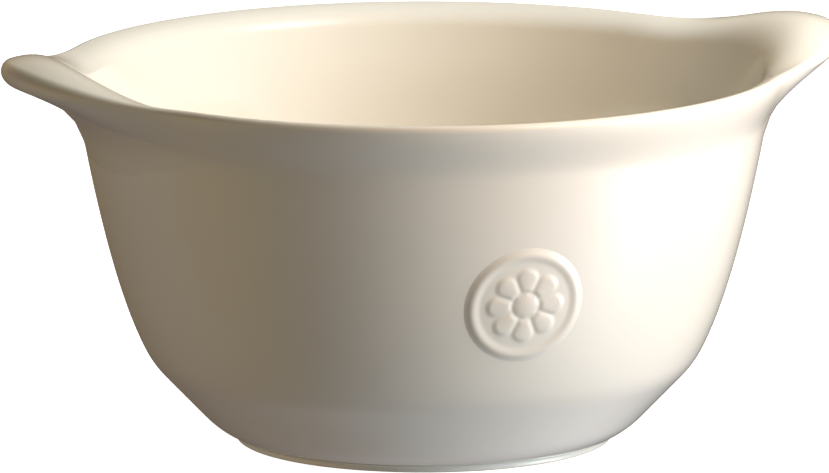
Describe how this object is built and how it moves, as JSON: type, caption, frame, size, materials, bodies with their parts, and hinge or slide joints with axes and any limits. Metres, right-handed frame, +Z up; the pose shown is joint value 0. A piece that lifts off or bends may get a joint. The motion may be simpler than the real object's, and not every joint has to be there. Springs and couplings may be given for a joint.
{
  "type": "handled soup bowl",
  "caption": "Round glazed stoneware bowl with a rolled lip, ears drawn out of the rim as handles, a keeled belly, a low foot ring and a raised rosette on its front.",
  "frame": {"origin": "middle of the foot ring's resting face, on the bowl's axis", "axes": "+X through the right ear, -Y through the rosette on the front, +Z up along the bowl's axis"},
  "size_m": [0.1724, 0.145, 0.0806],
  "materials": {
    "clay": "fired buff stoneware, unglazed, hidden under the glaze",
    "foot_clay": "fired stoneware, bare and rubbed smooth where the bowl rests",
    "ivory_glaze": "glossy ivory glaze, a little thinner and warmer over edges"
  },
  "bodies": {
    "root": {"bowl_body": "clay", "right_ear": "clay", "left_ear": "clay", "foot_ring": "foot_clay", "rosette": "ivory_glaze", "outer_glaze": "ivory_glaze", "inner_glaze": "ivory_glaze", "base_glaze": "ivory_glaze"}
  },
  "joints": []
}
